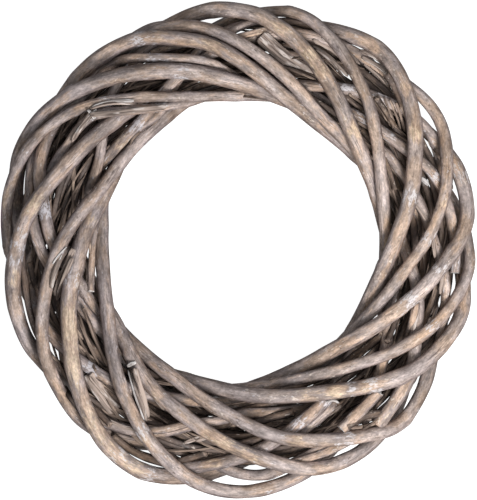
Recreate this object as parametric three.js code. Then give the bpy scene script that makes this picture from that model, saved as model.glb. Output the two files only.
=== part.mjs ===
// A round wreath of weathered willow rods, lying flat.
// Eight long outer rods and two short ones wind round the ring, clockwise from its outer edge over the
// top. Thinner binding rods lie under them and wind the other way, round a core of thin twigs.
// Millimetres, +Z up. The hole runs along Z, and the lowest rods rest at z = 0.

import * as THREE from "three";

// The ring: its centre line, and its mid height over the table
const RING_RADIUS = 115;
const MID_HEIGHT = 26;

// The layers. rise is how far centre lines lie over or under the ring's mid height at most. innerEdge and
// outerEdge are where they turn if no pass says so, and underSpan is how many degrees they run under the
// ring. hold is how firmly rods keep their place while they settle. sides and step are the faceting.
const OUTER_LAYER = {
  rise: 21.5,
  innerEdge: 87,
  outerEdge: 144,
  underSpan: 88,
  hold: 0.16,
  sides: 7,
  step: 13,
  bark: { color: 0x9a8878, roughness: 0.82, metalness: 0 },
};
const BINDING_LAYER = {
  rise: 13,
  innerEdge: 98,
  outerEdge: 136,
  underSpan: 62,
  hold: 0.06,
  sides: 6,
  step: 14,
  bark: { color: 0xa59079, roughness: 0.84, metalness: 0 },
};
const CORE_LAYER = {
  hold: 0.02,
  sides: 5,
  step: 17,
  bark: { color: 0x5f5046, roughness: 0.9, metalness: 0 },
};

// Under the ring a rod turns short round the outer edge and slides long along the inner one: 1 would be
// even. Its way is laid out in steps of about this many degrees.
const OUTER_EDGE_BEND = 0.78;
const UNDER_STEP = 9;

// Tails: the share of a way under the ring that a rod's ends still run, tucked in there
const START_TAIL = 0.62;
const END_TAIL = 0.36;
const TAIL_STEPS = 5;

// Rods settle until their skins lie this far apart. At first each spreads its bends and pulls back towards
// its own place; then the last overlaps are cleared under a light pull, and at the very end without one.
// Rods that touch part upwards and downwards more readily than sideways, as their places are known and
// their heights are not, and height is held less firmly than place.
const SKIN_GAP = 0.3;
const SETTLING = { rounds: 220, bendShare: 0.6, pushShare: 0.5, pull: 1 };
const CLEARING = { rounds: 260, bendShare: 0.03, pushShare: 0.9, pull: 0.08 };
const FREE_ROUNDS = 30;
const PUSH_SWEEPS = 3;
const UPWARD_PUSH = 2;
const HEIGHT_HOLD = 0.25;

// Which stretches may touch is worked out anew after so many rounds, with some reach to spare. A rod
// can't touch its own next few stretches.
const PAIR_ROUNDS = 12;
const PAIR_REACH = 2;
const OWN_STRETCHES = 4;

// Below these, two stretches count as parallel, and two points as one
const PARALLEL = 1e-6;
const SAME_POINT = 0.001;

// A faceted rod's corners stand this much outside its round skin, so that it is as thick on the whole
const CORNER_REACH = 1.05;

// A rod whose skin comes this near to the table has a small flat worn on it there
const FLAT_REACH = 0.25;

// How finely a route's length is measured
const LENGTH_DIVISIONS = 600;

const DEG = Math.PI / 180;

// Outer rods. A pass is the rod's way over the top, read off the real wreath: [bearing in degrees
// anticlockwise from +X, distance from the ring's axis], from the outer edge to the inner one. Under
// the ring the rod runs evenly from one pass to the next. radii are at its first and last end.
const OUTER_RODS = [
  {
    name: "outer_rod_1",
    radii: [5.0, 3.9],
    passes: [
      [[101, 143.8], [96, 144.7], [90, 142.8], [85, 140.2], [80, 134.5], [75, 129.2], [70, 122.7],
        [65, 116.8], [60, 110.8], [55, 105.6], [50, 100.4], [45, 96.5], [40, 93.5], [35, 91.3],
        [27, 89.7], [14, 88.8]],
      [[-58, 143.4], [-63, 143.8], [-67, 143.2], [-71, 141.6], [-75, 138.3], [-80, 132.8], [-85, 127.4],
        [-90, 122.6], [-95, 118], [-100, 113.6], [-105, 110], [-110, 106.4], [-115, 104],
        [-120, 101.9], [-125, 99.2], [-130, 96.7], [-135, 94.4], [-140, 92.8], [-146, 92.2], [-150, 92.2]],
      [[-245, 141.3], [-250, 140.1], [-255, 137.8], [-260, 134.4], [-265, 128.8], [-270, 122.4],
        [-275, 116.3], [-280, 110.4], [-285, 105.6], [-290, 101], [-295, 97], [-300, 93.8], [-305, 92],
        [-310, 91], [-317, 90.4]],
    ],
  },
  {
    name: "outer_rod_2",
    radii: [3.4, 4.4],
    passes: [
      [[78, 145.6], [74, 144.6], [70, 141.2], [65, 136], [60, 130], [55, 123.8], [50, 118.3],
        [45, 112.1], [40, 106.7], [35, 101.7], [30, 97.4], [25, 94.2], [20, 91.8], [15, 89.7],
        [8, 88.5], [0, 87.8]],
      [[-83, 146.4], [-90, 148.2], [-95, 147.4], [-100, 145], [-105, 140.8], [-110, 134.9], [-115, 129.5],
        [-120, 123.3], [-125, 117.3], [-130, 111.9], [-135, 106.2], [-140, 101], [-145, 96.3],
        [-150, 92], [-155, 89], [-160, 87], [-165, 85.5], [-171, 84.3], [-178, 84]],
    ],
  },
  {
    name: "outer_rod_3",
    radii: [4.6, 5.1],
    passes: [
      [[61, 144.7], [58, 145.8], [54, 145.6], [50, 143.4], [45, 138.8], [40, 134], [35, 128], [30, 122],
        [25, 115.8], [20, 110.5], [15, 105.7], [10, 100.2], [5, 96.2], [0, 92.4], [-5, 89.3],
        [-10, 87], [-15, 85.6], [-20, 84.7], [-27, 84.4]],
      [[-114, 148.2], [-120, 146.4], [-125, 143.6], [-130, 139], [-135, 133.8], [-140, 128.7],
        [-145, 123.4], [-150, 118.6], [-155, 114.3], [-160, 110.8], [-165, 107], [-170, 102.9],
        [-175, 100], [-180, 97.4], [-185, 95.6], [-190, 93.9], [-195, 92.6],
        [-202, 92.3], [-208, 92.4]],
    ],
  },
  {
    name: "outer_rod_4",
    radii: [3.5, 4.0],
    passes: [
      [[40, 142.4], [37, 143.4], [33, 143], [30, 141.8], [25, 137.3], [20, 132.8], [15, 128], [10, 121.8],
        [5, 116.4], [0, 110], [-5, 103.8], [-10, 98.7], [-15, 95], [-20, 91.8], [-25, 89.2],
        [-30, 86.8], [-35, 85.2], [-42, 84.2]],
      [[-133, 142.8], [-139, 140.5], [-145, 138.2], [-150, 135.7], [-155, 132.3], [-160, 127.6],
        [-165, 122.8], [-170, 118.2], [-175, 113.8], [-180, 109.6], [-185, 105], [-190, 100.6],
        [-195, 96.5], [-200, 93.2], [-205, 91], [-212, 90.1], [-222, 90.2], [-230, 90.4]],
    ],
  },
  {
    name: "outer_rod_5",
    radii: [4.3, 4.8],
    passes: [
      [[20, 137.6], [16, 139.2], [12, 138.8], [8, 137.6], [5, 135.6], [0, 129.8], [-5, 122.6], [-10, 116.4],
        [-15, 110.2], [-20, 104], [-25, 99.2], [-30, 95], [-35, 91.2], [-40, 87.6], [-45, 84.8],
        [-50, 83.6], [-57, 82], [-64, 81.6]],
      [[-157, 140.9], [-162, 140.5], [-167, 139.4], [-172, 138], [-178, 135.6], [-184, 132.6],
        [-191, 128], [-197, 122.6], [-203, 118], [-210, 113.8], [-217, 110.8], [-225, 107.6],
        [-232, 104.6], [-239, 100.8], [-245, 98.6]],
    ],
  },
  {
    name: "outer_rod_6",
    radii: [3.7, 3.2],
    passes: [
      [[-3, 139.1], [-7, 138.6], [-10, 136.4], [-15, 132.6], [-20, 128], [-25, 122.8],
        [-30, 116.9], [-35, 111.2], [-40, 105.3], [-45, 100], [-50, 96], [-55, 92.6], [-60, 89.8],
        [-65, 87.4], [-71, 85.8], [-78, 85]],
      [[-190, 143.5], [-196, 143.8], [-203, 142.2], [-208, 139.2], [-213, 135.4], [-218, 130.6],
        [-223, 124.6], [-228, 118], [-233, 112], [-238, 106.8], [-243, 101.8], [-248, 97.8],
        [-253, 95.2], [-260, 92.8], [-269, 91.8]],
    ],
  },
  {
    name: "outer_rod_7",
    radii: [4.6, 4.9],
    passes: [
      [[-16, 139.1], [-20, 138.2], [-25, 135.6], [-30, 132.4], [-35, 128.6], [-40, 122.7],
        [-45, 117], [-50, 111.4], [-55, 106], [-60, 101.8], [-65, 98.6], [-70, 95.9], [-75, 93.6],
        [-80, 91.8], [-85, 90.2], [-92, 88.5], [-99, 87.4], [-105, 87.2]],
      [[-204, 144], [-208, 143.4], [-213, 142], [-218, 140], [-223, 137], [-228, 132.6],
        [-233, 128.6], [-238, 123.6], [-243, 119], [-248, 115.2], [-253, 111.4], [-258, 107.6],
        [-263, 104.4], [-268, 101.8], [-274, 99.4], [-281, 97.4], [-287, 96.6]],
    ],
  },
  {
    name: "outer_rod_8",
    radii: [4.1, 4.8],
    passes: [
      [[-47, 144], [-51, 142.4], [-55, 138.2], [-60, 133], [-65, 128.4], [-70, 124.5],
        [-75, 120.2], [-80, 115.6], [-85, 110.3], [-90, 105], [-95, 100.6], [-100, 97.2],
        [-105, 94.3], [-110, 91.3], [-115, 89.2], [-122, 87.8], [-130, 87.2]],
      [[-224, 141.3], [-230, 142], [-236, 140.8], [-241, 140.2], [-246, 138.4], [-250, 134.4],
        [-255, 129.8], [-260, 125.4], [-265, 119.5], [-270, 112.6], [-275, 106.8], [-280, 100.8], [-285, 96.6],
        [-290, 93.4], [-295, 91], [-300, 89.4], [-305, 88.7], [-310, 88.6]],
    ],
  },
  {
    name: "thin_outer_rod",
    radii: [2.9, 2.7],
    passes: [
      [[-236, 135], [-240, 131], [-244, 127.3], [-250, 121.3], [-255, 117.8], [-260, 114],
        [-265, 108.4], [-270, 103.6], [-277, 99.4]],
    ],
  },
  {
    name: "kinked_rod",
    radii: [2.7, 3.0],
    startTail: 0.3,
    passes: [
      [[-193, 130], [-200, 126], [-206, 124], [-213, 121.6], [-219.5, 121.8], [-222.5, 119.6],
        [-226, 113.8], [-233, 104.8], [-242, 97.6], [-250, 93.8]],
    ],
  },
];

// Binding rods, under the outer ones. Their passes over the top run from the inner edge to the outer.
const BINDING_RODS = [
  {
    name: "binding_rod_1",
    radii: [3.2, 3.6],
    passes: [
      [[84, 99.5], [77, 102.5], [70, 106.5], [64, 109], [57, 115.5], [48, 122], [41, 128], [33, 133],
        [27, 133.5]],
      [[-22, 98.5], [-28, 103.5], [-35, 108.5], [-46, 118], [-54, 124], [-62, 128], [-70, 132.5],
        [-77, 136], [-85, 139.5]],
      [[-146, 97], [-156, 100.5], [-164, 104.5], [-176, 116], [-187, 125], [-196, 131], [-206, 136]],
    ],
  },
  {
    name: "binding_rod_2",
    radii: [3.4, 3.2],
    passes: [
      [[59, 99.5], [51, 104], [45, 107.5], [36, 112], [31, 115], [25, 121.2], [18, 126], [8, 129.5],
        [-1, 130.8], [-7, 131.2]],
    ],
    cutEnd: true,
  },
  {
    name: "binding_rod_3",
    radii: [3.9, 3.7],
    passes: [
      [[-46, 98], [-52, 101.5], [-60, 107], [-70, 112], [-78, 118], [-84, 122.5], [-92, 128],
        [-98, 132], [-105, 137]],
      [[-152, 95], [-160, 97], [-168, 101], [-181, 115], [-193, 122.5], [-202, 130], [-211, 135.5]],
    ],
  },
  {
    name: "binding_rod_4",
    radii: [3.0, 3.2],
    passes: [
      [[40, 101.5], [34, 105], [21, 109], [12, 112.5], [0, 118], [-8, 124], [-14, 127], [-22, 130],
        [-30, 131.5]],
      [[-88, 99], [-95, 104], [-104, 109.5], [-110, 118], [-116, 124.5], [-122, 129], [-132, 134]],
      [[-204, 94.5], [-211, 97], [-219, 105], [-228, 118], [-235, 125], [-242, 131], [-250, 133.5]],
    ],
  },
  {
    name: "binding_rod_5",
    radii: [3.6, 3.9],
    passes: [
      [[3, 98], [-4, 103], [-15, 112], [-26, 118.5], [-34, 126], [-40, 130.5], [-50, 134]],
    ],
    cutEnd: true,
  },
  {
    name: "binding_rod_6",
    radii: [3.8, 3.3],
    passes: [
      [[-97, 96], [-104, 98], [-115, 102], [-124, 107], [-133, 112.5], [-144, 119.5], [-152, 125.5],
        [-160, 130], [-170, 131.5]],
      [[-215, 95.5], [-222, 96.5], [-233, 99.5], [-243, 105.5], [-249, 110], [-260, 118.5],
        [-271, 127], [-280, 131.5], [-288, 135], [-302, 137]],
    ],
  },
  {
    name: "binding_rod_7",
    radii: [2.9, 2.7],
    passes: [
      [[-236, 97], [-243, 101], [-249, 108], [-258, 120.5], [-267, 131.5], [-276, 137]],
    ],
  },
];

// Core twigs: rows across the ring and up its height. Each twig runs most of the way round, starts its
// own number of degrees on from the one before, and drifts in and out and up and down on the way.
const CORE_COLUMNS = [101, 107, 113, 119, 124, 129];
const CORE_LEVELS = [21, 26.5, 32];
const CORE_TWIGS = 17;
const CORE_RADIUS = 2.6;
const CORE_RADIUS_SPREAD = 0.4;
const CORE_TAPER = 0.8;
const CORE_START = 137;
const CORE_START_SPREAD = 20;
const CORE_SPAN = 225;
const CORE_SPAN_SPREAD = 60;
const CORE_STEP = 12;
const CORE_DRIFT = 3;
const CORE_DRIFT_WAVES = 2;
const CORE_LIFT_WAVES = 3;

// The seeded random source of the core: every build gives the same wreath
const RANDOM_SEED = 41;
const RANDOM_FACTOR = 1664525;
const RANDOM_ADD = 1013904223;
const RANDOM_RANGE = 4294967296;
let randomState = RANDOM_SEED;

function random() {
  randomState = (randomState * RANDOM_FACTOR + RANDOM_ADD) % RANDOM_RANGE;
  return randomState / RANDOM_RANGE;
}

function ringPoint(bearing, radius, height) {
  const angle = bearing * DEG;
  return new THREE.Vector3(radius * Math.cos(angle), radius * Math.sin(angle), height);
}

// A pass over the top. Its height follows a half turn round the ring's section, reckoned half from how
// far the rod has come round the ring and half from how far it has crossed it.
function overPass(pass, rise) {
  const [firstBearing, firstRadius] = pass[0];
  const [lastBearing, lastRadius] = pass[pass.length - 1];
  const middle = (firstRadius + lastRadius) / 2;
  return pass.map(([bearing, radius]) => {
    const along = (bearing - firstBearing) / (lastBearing - firstBearing);
    const across = THREE.MathUtils.clamp((radius - middle) / (firstRadius - middle), -1, 1);
    const turn = (along * Math.PI + Math.acos(across)) / 2;
    return ringPoint(bearing, radius, MID_HEIGHT + rise * Math.sin(turn));
  });
}

// A point on the way under the ring. part is 0 at the outer end of that way and 1 at the inner end.
function underPoint(outer, inner, part, rise) {
  const bent = part ** OUTER_EDGE_BEND;
  const across = (1 - Math.cos(bent * Math.PI)) / 2;
  const turn = ((part + bent) * Math.PI) / 2;
  const bearing = THREE.MathUtils.lerp(outer[0], inner[0], part);
  const radius = THREE.MathUtils.lerp(outer[1], inner[1], across);
  return ringPoint(bearing, radius, MID_HEIGHT - rise * Math.sin(turn));
}

// The way under the ring from the end of one pass to the start of the next
function underPass(from, to, rise) {
  const outward = to[1] > from[1];
  const steps = Math.round(Math.abs(to[0] - from[0]) / UNDER_STEP);
  const points = [];
  for (let i = 1; i < steps; i += 1) {
    const part = i / steps;
    points.push(outward ? underPoint(to, from, 1 - part, rise) : underPoint(from, to, part, rise));
  }
  return points;
}

// An end of a rod, tucked under the ring: side is -1 before its first pass and 1 after its last
function tail(end, side, share, layer) {
  const atOuterEdge = end[1] > RING_RADIUS;
  const farRadius = atOuterEdge ? layer.innerEdge : layer.outerEdge;
  const far = [end[0] - side * layer.underSpan, farRadius];
  const points = [];
  for (let i = 1; i <= TAIL_STEPS; i += 1) {
    const part = (share * i) / TAIL_STEPS;
    points.push(
      atOuterEdge ? underPoint(end, far, part, layer.rise) : underPoint(far, end, 1 - part, layer.rise),
    );
  }
  return side < 0 ? points.reverse() : points;
}

function windingRoute(rod, layer) {
  const first = rod.passes[0];
  const last = rod.passes[rod.passes.length - 1];
  const route = tail(first[0], -1, rod.startTail ?? START_TAIL, layer);
  rod.passes.forEach((pass, index) => {
    if (index > 0) {
      const before = rod.passes[index - 1];
      route.push(...underPass(before[before.length - 1], pass[0], layer.rise));
    }
    route.push(...overPass(pass, layer.rise));
  });
  if (!rod.cutEnd) {
    route.push(...tail(last[last.length - 1], 1, END_TAIL, layer));
  }
  return route;
}

function coreRoute(index) {
  const column = CORE_COLUMNS[index % CORE_COLUMNS.length];
  const level = CORE_LEVELS[(index + Math.floor(index / CORE_COLUMNS.length)) % CORE_LEVELS.length];
  const start = index * CORE_START + CORE_START_SPREAD * random();
  const span = CORE_SPAN + CORE_SPAN_SPREAD * (random() - 0.5);
  const phase = 360 * random();
  const steps = Math.round(span / CORE_STEP);
  const points = [];
  for (let i = 0; i <= steps; i += 1) {
    const bearing = start - (span * i) / steps;
    const drift = Math.sin((bearing * CORE_DRIFT_WAVES + phase) * DEG);
    const lift = Math.cos((bearing * CORE_LIFT_WAVES + phase) * DEG);
    points.push(ringPoint(bearing, column + CORE_DRIFT * drift, level + lift));
  }
  return points;
}

// A rod as a chain of points one step apart. home holds the place that each point would like to keep.
function makeChain(name, route, radii, layer) {
  const curve = new THREE.CatmullRomCurve3(route, false, "centripetal");
  curve.arcLengthDivisions = LENGTH_DIVISIONS;
  const steps = Math.round(curve.getLength() / layer.step);
  const home = curve.getSpacedPoints(steps);
  const points = home.map((point) => point.clone());
  const thickness = home.map((point, i) => {
    return CORNER_REACH * THREE.MathUtils.lerp(radii[0], radii[1], i / steps);
  });
  return { name, layer, home, points, thickness };
}

function makeChains() {
  const chains = [];
  for (const rod of OUTER_RODS) {
    chains.push(makeChain(rod.name, windingRoute(rod, OUTER_LAYER), rod.radii, OUTER_LAYER));
  }
  for (const rod of BINDING_RODS) {
    chains.push(makeChain(rod.name, windingRoute(rod, BINDING_LAYER), rod.radii, BINDING_LAYER));
  }
  for (let i = 0; i < CORE_TWIGS; i += 1) {
    const thick = CORE_RADIUS + CORE_RADIUS_SPREAD * (2 * random() - 1);
    const radii = [thick, thick * CORE_TAPER];
    chains.push(makeChain(`core_twig_${i + 1}`, coreRoute(i), radii, CORE_LAYER));
  }
  return chains;
}

// Every stretch between two neighbouring points of a chain
function makeStretches(chains) {
  const stretches = [];
  for (const chain of chains) {
    for (let i = 0; i + 1 < chain.points.length; i += 1) {
      stretches.push({ chain, i });
    }
  }
  return stretches;
}

// Pairs of stretches near enough to touch while the rods settle
function nearPairs(stretches) {
  const middles = stretches.map(({ chain, i }) => {
    return chain.points[i].clone().add(chain.points[i + 1]).multiplyScalar(0.5);
  });
  const reaches = stretches.map(({ chain, i }) => {
    return chain.points[i].distanceTo(chain.points[i + 1]) / 2 + chain.thickness[i] + PAIR_REACH;
  });
  const pairs = [];
  for (let a = 0; a < stretches.length; a += 1) {
    for (let b = a + 1; b < stretches.length; b += 1) {
      const sameRod = stretches[a].chain === stretches[b].chain;
      if (sameRod && stretches[b].i - stretches[a].i < OWN_STRETCHES) {
        continue;
      }
      if (middles[a].distanceTo(middles[b]) < reaches[a] + reaches[b]) {
        pairs.push([stretches[a], stretches[b]]);
      }
    }
  }
  return pairs;
}

// How far along each of two stretches, 0 to 1, they come nearest to each other
function nearestParts(p0, p1, q0, q1) {
  const u = p1.clone().sub(p0);
  const v = q1.clone().sub(q0);
  const w = p0.clone().sub(q0);
  const uu = u.dot(u);
  const uv = u.dot(v);
  const vv = v.dot(v);
  const uw = u.dot(w);
  const vw = v.dot(w);
  const across = uu * vv - uv * uv;
  let s = across > PARALLEL ? THREE.MathUtils.clamp((uv * vw - vv * uw) / across, 0, 1) : 0.5;
  let t = (uv * s + vw) / vv;
  if (t < 0 || t > 1) {
    t = THREE.MathUtils.clamp(t, 0, 1);
    s = THREE.MathUtils.clamp((uv * t - uw) / uu, 0, 1);
  }
  return [s, t];
}

// Push two stretches apart by a share of what their skins lack to the wanted gap
function pushApart([a, b], share) {
  const p0 = a.chain.points[a.i];
  const p1 = a.chain.points[a.i + 1];
  const q0 = b.chain.points[b.i];
  const q1 = b.chain.points[b.i + 1];
  const [s, t] = nearestParts(p0, p1, q0, q1);
  const apart = p0.clone().lerp(p1, s).sub(q0.clone().lerp(q1, t));
  const distance = apart.length();
  const thickA = THREE.MathUtils.lerp(a.chain.thickness[a.i], a.chain.thickness[a.i + 1], s);
  const thickB = THREE.MathUtils.lerp(b.chain.thickness[b.i], b.chain.thickness[b.i + 1], t);
  const missing = thickA + thickB + SKIN_GAP - distance;
  if (missing <= 0) {
    return;
  }
  if (distance < SAME_POINT) {
    apart.set(0, 0, 1);
  }
  apart.z *= UPWARD_PUSH;
  apart.normalize();
  const spread = (1 - s) ** 2 + s ** 2 + (1 - t) ** 2 + t ** 2;
  const push = (missing * share) / spread;
  p0.addScaledVector(apart, push * (1 - s));
  p1.addScaledVector(apart, push * s);
  q0.addScaledVector(apart, -push * (1 - t));
  q1.addScaledVector(apart, -push * t);
}

// Spread each point's shift from home along its rod, so that the rod bends and does not kink
function smoothShift(chain, share) {
  const shift = chain.points.map((point, i) => point.clone().sub(chain.home[i]));
  chain.points.forEach((point, i) => {
    const before = shift[Math.max(i - 1, 0)];
    const after = shift[Math.min(i + 1, shift.length - 1)];
    const mean = before.clone().add(after).multiplyScalar(0.5);
    point.addScaledVector(mean.sub(shift[i]), share);
  });
}

function pullHome(chain, share) {
  const hold = chain.layer.hold * share;
  chain.points.forEach((point, i) => {
    point.x += (chain.home[i].x - point.x) * hold;
    point.y += (chain.home[i].y - point.y) * hold;
    point.z += (chain.home[i].z - point.z) * hold * HEIGHT_HOLD;
  });
}

function keepOffTable(chain) {
  chain.points.forEach((point, i) => {
    point.z = Math.max(point.z, chain.thickness[i]);
  });
}

// Let the rods settle into each other, then clear the last overlaps
function settle(chains) {
  const stretches = makeStretches(chains);
  const rounds = SETTLING.rounds + CLEARING.rounds;
  let pairs = [];
  for (let round = 0; round < rounds; round += 1) {
    if (round % PAIR_ROUNDS === 0) {
      pairs = nearPairs(stretches);
    }
    const stage = round < SETTLING.rounds ? SETTLING : CLEARING;
    const pull = round < rounds - FREE_ROUNDS ? stage.pull : 0;
    for (const chain of chains) {
      smoothShift(chain, stage.bendShare);
      pullHome(chain, pull);
    }
    for (let sweep = 0; sweep < PUSH_SWEEPS; sweep += 1) {
      for (const pair of pairs) {
        pushApart(pair, stage.pushShare);
      }
    }
    chains.forEach(keepOffTable);
  }
}

// The corners of a rod round one of its points. Its lowest facet is turned down, and lies on the table
// where the rod does.
function rodRing(chain, ring) {
  const { points, thickness, layer } = chain;
  const point = points[ring];
  const along = points[Math.min(ring + 1, points.length - 1)].clone();
  along.sub(points[Math.max(ring - 1, 0)]).normalize();
  const side = along.clone().cross(new THREE.Vector3(0, 0, 1)).normalize();
  const top = side.clone().cross(along);
  const onTable = point.z < thickness[ring] + FLAT_REACH;
  const corners = [];
  for (let k = 0; k < layer.sides; k += 1) {
    const angle = -Math.PI / 2 + ((k + 0.5) * 2 * Math.PI) / layer.sides;
    const corner = point.clone();
    corner.addScaledVector(side, thickness[ring] * Math.cos(angle));
    corner.addScaledVector(top, thickness[ring] * Math.sin(angle));
    if (onTable && (k === 0 || k === layer.sides - 1)) {
      corner.z = 0;
    }
    corners.push(corner.x, corner.y, corner.z);
  }
  return corners;
}

// A tapered rod along a chain, closed at both ends
function rodGeometry(chain) {
  const { points } = chain;
  const { sides } = chain.layer;
  const last = points[points.length - 1];
  const positions = points.flatMap((point, ring) => rodRing(chain, ring));
  const faces = [];
  for (let ring = 0; ring + 1 < points.length; ring += 1) {
    for (let k = 0; k < sides; k += 1) {
      const a = ring * sides + k;
      const b = ring * sides + ((k + 1) % sides);
      faces.push(a, a + sides, b, b, a + sides, b + sides);
    }
  }
  const firstEnd = points.length * sides;
  const lastEnd = firstEnd + 1;
  const lastRing = firstEnd - sides;
  positions.push(points[0].x, points[0].y, points[0].z, last.x, last.y, last.z);
  for (let k = 0; k < sides; k += 1) {
    const next = (k + 1) % sides;
    faces.push(firstEnd, k, next, lastEnd, lastRing + next, lastRing + k);
  }
  const geometry = new THREE.BufferGeometry();
  geometry.setAttribute("position", new THREE.Float32BufferAttribute(positions, 3));
  geometry.setIndex(faces);
  geometry.computeVertexNormals();
  return geometry;
}

const chains = makeChains();
settle(chains);

const group = new THREE.Group();
for (const chain of chains) {
  const mesh = new THREE.Mesh(rodGeometry(chain), new THREE.MeshStandardMaterial(chain.layer.bark));
  mesh.name = chain.name;
  group.add(mesh);
}

// The origin is at the middle of the wreath's outline, on the table
const middle = new THREE.Box3().setFromObject(group, true).getCenter(new THREE.Vector3());
group.position.set(-middle.x, -middle.y, 0);

export default group;
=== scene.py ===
# The looks of a willow wreath that lies flat and is seen from straight above.
# Every rod and twig is rebuilt on the route of its own solid, with bark, knots and cut ends. Short lengths
# of rod and strips of split and shredded wood are laid among them, where the real wreath shows them.
# Metres, +Z up. Bearings are anticlockwise from +X, round the wreath's own ring.

import math

import bpy
import numpy as np
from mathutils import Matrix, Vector
from mathutils.kdtree import KDTree


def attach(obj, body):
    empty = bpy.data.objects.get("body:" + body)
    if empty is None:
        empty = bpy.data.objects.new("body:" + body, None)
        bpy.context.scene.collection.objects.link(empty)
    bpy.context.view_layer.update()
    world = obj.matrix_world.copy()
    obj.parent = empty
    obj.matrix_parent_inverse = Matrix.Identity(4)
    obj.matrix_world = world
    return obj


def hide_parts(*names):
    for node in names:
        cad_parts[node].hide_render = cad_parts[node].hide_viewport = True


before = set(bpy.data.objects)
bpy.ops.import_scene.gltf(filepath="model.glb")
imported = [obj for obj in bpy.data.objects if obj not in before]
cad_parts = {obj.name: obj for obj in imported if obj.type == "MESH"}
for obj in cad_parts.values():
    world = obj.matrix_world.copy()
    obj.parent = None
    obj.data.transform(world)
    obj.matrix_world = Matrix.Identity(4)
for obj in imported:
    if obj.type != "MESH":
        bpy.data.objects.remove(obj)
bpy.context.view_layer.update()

MM = 0.001
UP = np.array([0.0, 0.0, 1.0])

# The ring's axis stands a little off the middle of the outline
RING_AXIS = np.array([1.36, 1.66]) * MM

# The photograph: its size and the ring's axis in its pixels, from its left and its top
PHOTO_WIDTH = 477
PHOTO_HEIGHT = 500
PHOTO_AXIS = (240.5, 247.0)
PIXEL = 0.605 * MM

# The corners of a solid stand this much outside the round skin that it stands for
CORNER_REACH = 1.05

# Corners no further apart than this are one
SAME_CORNER = 0.02 * MM

# The kinds of rod: the sides of the solid, the corners round the rebuilt rod and the step along it, its
# thickness as a share of the solid's, its slot, which is also its bark, and the finish of its ends
ROD_KINDS = {
    "outer": {"sides": 7, "around": 26, "step": 1.3 * MM, "share": 1.0,
              "slot": "outer_bark", "ends": "cut_wood"},
    "binding": {"sides": 6, "around": 22, "step": 1.4 * MM, "share": 1.0,
                "slot": "binding_bark", "ends": "cut_wood"},
    "core": {"sides": 5, "around": 14, "step": 2.2 * MM, "share": 0.82,
             "slot": "core_bark", "ends": "shredded_bark"},
}


def kind_of(node):
    """A rod's kind, by its node's name. The thin outer rod and the kinked rod are outer ones."""
    if node.startswith("core"):
        return "core"
    if node.startswith("binding"):
        return "binding"
    return "outer"


def photo_place(across, down):
    """The place in plan that a pixel of the photograph shows."""
    return RING_AXIS + PIXEL * np.array([across - PHOTO_AXIS[0], PHOTO_AXIS[1] - down])


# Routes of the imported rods

def weld(corners):
    """Number the corners so that those in one place share a number."""
    tree = KDTree(len(corners))
    for i, corner in enumerate(corners):
        tree.insert(corner, i)
    tree.balance()
    number = [-1] * len(corners)
    places = []
    for i, corner in enumerate(corners):
        if number[i] >= 0:
            continue
        for _, j, _ in tree.find_range(corner, SAME_CORNER):
            number[j] = len(places)
        places.append(corner)
    return np.array(places), number


def corner_links(mesh):
    """The corners of a packed rod, and for each the set of those that an edge joins to it."""
    places, number = weld([tuple(v.co) for v in mesh.vertices])
    links = [set() for _ in places]
    for face in mesh.polygons:
        ids = [number[v] for v in face.vertices]
        for a, b in zip(ids, ids[1:] + ids[:1]):
            links[a].add(b)
            links[b].add(a)
    return places, links


def end_centres(places, links, sides):
    """The corners in the middle of a rod's two end faces."""
    def off_middle(i):
        return np.linalg.norm(places[list(links[i])].mean(axis=0) - places[i])

    able = [i for i in range(len(places)) if len(links[i]) == sides]
    return sorted(able, key=off_middle)[:2]


def rod_rings(mesh, sides):
    """The rings of corners along a packed rod, from one end to the other."""
    places, links = corner_links(mesh)
    first, last = end_centres(places, links, sides)
    used = {first, last}
    ring = sorted(links[first])
    rings = []
    while ring:
        rings.append(places[ring])
        used.update(ring)
        middle = rings[-1].mean(axis=0)
        onward = {j for i in ring for j in links[i]} - used
        ring = sorted(onward, key=lambda j: np.linalg.norm(places[j] - middle))[:sides]
    return rings


def runs_clockwise(points):
    x, y = points[:, 0], points[:, 1]
    return np.sum(x[:-1] * y[1:] - x[1:] * y[:-1]) < 0


def unit(vectors):
    return vectors / np.linalg.norm(vectors, axis=-1, keepdims=True)


def curve_along(points, steps=10):
    """A smooth curve that runs close by the points and rounds off the bends between them."""
    points = points.copy()
    points[1:-1] -= (points[:-2] - 2 * points[1:-1] + points[2:]) / 6
    p = np.vstack([2 * points[0] - points[1], points, 2 * points[-1] - points[-2]])
    t = (np.arange(steps) / steps)[None, :, None]
    a, b, c, d = (p[k:len(p) - 3 + k, None, :] for k in range(4))
    curve = a * (1 - t)**3 + b * (3 * t**3 - 6 * t**2 + 4)
    curve = curve + c * (1 + 3 * t + 3 * t**2 - 3 * t**3) + d * t**3
    return np.vstack([curve.reshape(-1, points.shape[1]) / 6, points[-1]])


def lengths_along(points):
    return np.concatenate([[0.0], np.cumsum(np.linalg.norm(np.diff(points, axis=0), axis=1))])


def make_route(kind_name, points, radii):
    """A rod's route in even fine steps: its points, and its radius and its length so far at each."""
    curve = curve_along(np.column_stack([points, radii]))
    along = lengths_along(curve[:, :3])
    count = max(int(along[-1] / ROD_KINDS[kind_name]["step"]), 4)
    even = np.linspace(0, along[-1], count + 1)
    fine = np.column_stack([np.interp(even, along, curve[:, k]) for k in range(4)])
    return {"kind": kind_name, "points": fine[:, :3], "radius": fine[:, 3], "along": even}


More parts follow.
